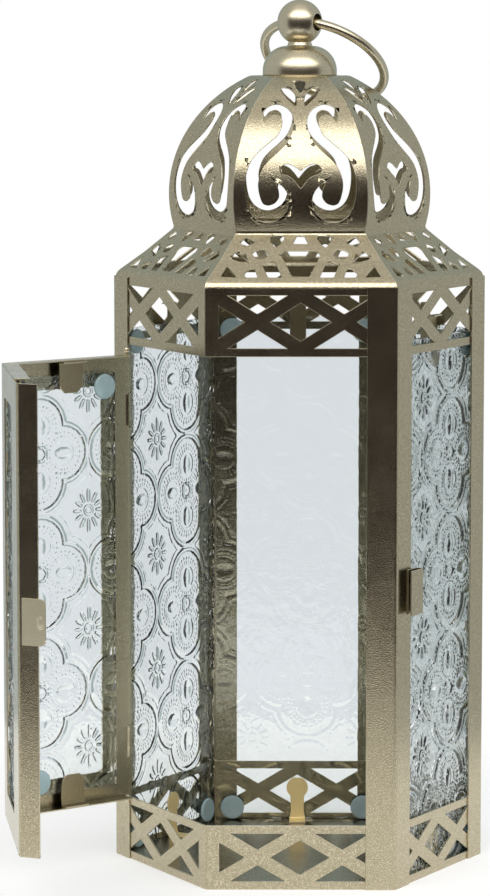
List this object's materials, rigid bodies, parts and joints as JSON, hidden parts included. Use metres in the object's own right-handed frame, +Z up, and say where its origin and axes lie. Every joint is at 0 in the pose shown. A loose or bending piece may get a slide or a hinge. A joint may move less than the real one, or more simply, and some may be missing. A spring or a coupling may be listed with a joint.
{
  "type": "candle lantern",
  "caption": "Six-sided metal candle lantern with pierced bands and dome, patterned glass sides, a wrap-round hinged door and a swinging hanging ring.",
  "frame": {"origin": "middle of the flat underside of the base, on the lantern's own axis", "axes": "+Z up along the lantern's axis; -Y towards the front side, which the door's wide leaf covers when it is shut; +X to the right seen from the front"},
  "size_m": [0.1807, 0.1858, 0.3277],
  "materials": {
    "gold_sheet": "satin champagne-gold metallic finish with a fine speckle",
    "floor_sheet": "satin champagne-gold, duller inside",
    "gold_turned": "satin champagne-gold on turned and drawn pieces",
    "pressed_glass": "clear pressed glass with raised medallions and daisies",
    "tab_metal": "bent gold tabs",
    "soft_dot": "pale blue-green translucent silicone",
    "zinc": "zinc-plated fastener"
  },
  "bodies": {
    "lantern": {"base_band": "gold_sheet", "post_left": "gold_sheet", "post_back_left": "gold_sheet", "post_back_right": "gold_sheet", "post_right": "gold_sheet", "post_front_right": "gold_sheet", "roof_front": "gold_sheet", "roof_front_right": "gold_sheet", "roof_back_right": "gold_sheet", "roof_back": "gold_sheet", "roof_back_left": "gold_sheet", "roof_front_left": "gold_sheet", "hinge_knuckles": "gold_sheet", "latch_catch": "gold_sheet", "floor_plate": "floor_sheet", "cap": "gold_turned", "finial_ball": "gold_turned", "hinge_pin": "gold_turned", "pane_front_right": "pressed_glass", "pane_back_right": "pressed_glass", "pane_back": "pressed_glass", "pane_back_left": "pressed_glass", "floor_tab_front_right": "tab_metal", "floor_tab_back_right": "tab_metal", "floor_tab_back": "tab_metal", "floor_tab_back_left": "tab_metal", "top_tab_front_right": "tab_metal", "top_tab_back_right": "tab_metal", "top_tab_back": "tab_metal", "top_tab_back_left": "tab_metal", "pane_dots": "soft_dot", "finial_screw": "zinc", "finial_washer": "zinc", "finial_nut": "zinc"},
    "door": {"door_frame": "gold_sheet", "door_pane_side": "pressed_glass", "door_pane_front": "pressed_glass", "door_tabs_top": "tab_metal", "door_tabs_low": "tab_metal", "door_dots": "soft_dot", "latch_tongue": "gold_sheet"},
    "ring": {"hanging_ring": "gold_turned"}
  },
  "joints": [
    {"name": "door_hinge", "type": "hinge", "parent": "lantern", "child": "door", "pos_m": [-0.06524, -0.01284, 0.1103], "axis": [0, 0, 1], "range_deg": [-88, 82]},
    {"name": "ring_swing", "type": "hinge", "parent": "lantern", "child": "ring", "pos_m": [0, 0, 0.31917], "axis": [0.8572, -0.515, 0], "range_deg": [0, 257]}
  ]
}
